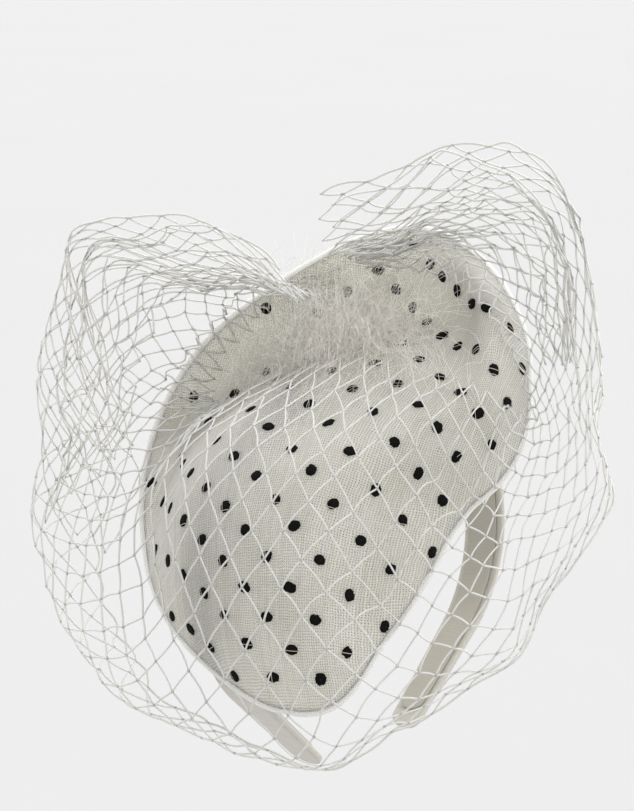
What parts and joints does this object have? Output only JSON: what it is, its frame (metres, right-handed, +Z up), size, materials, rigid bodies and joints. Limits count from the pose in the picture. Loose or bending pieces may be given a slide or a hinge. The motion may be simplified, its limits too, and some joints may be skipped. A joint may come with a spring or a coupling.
{
  "type": "fascinator",
  "caption": "Percher fascinator: a dotted straw shell on a slim satin headband, with a gathered birdcage net veil and a tuft of down.",
  "frame": {"origin": "inner face of the headband's lining at the top of the band, where it rests on the head", "axes": "+Z up out of the head, -Y the way the wearer faces, +X to the wearer's left; the hat sits on the wearer's right (-X)"},
  "size_m": [0.1582, 0.1714, 0.1945],
  "materials": {
    "satin": "satin ribbon wound over the band",
    "grosgrain": "ribbed ribbon",
    "felt": "matt",
    "straw": "open woven straw with flocked dots",
    "straw_binding": "folded woven straw",
    "net": "twisted nylon thread",
    "down": "fluffy"
  },
  "bodies": {
    "root": {"headband": "satin", "headband_lining": "grosgrain", "mounting_pad": "felt", "sinamay_shell": "straw", "rim_binding": "straw_binding", "veil_net": "net", "down_tuft": "down"}
  },
  "joints": []
}
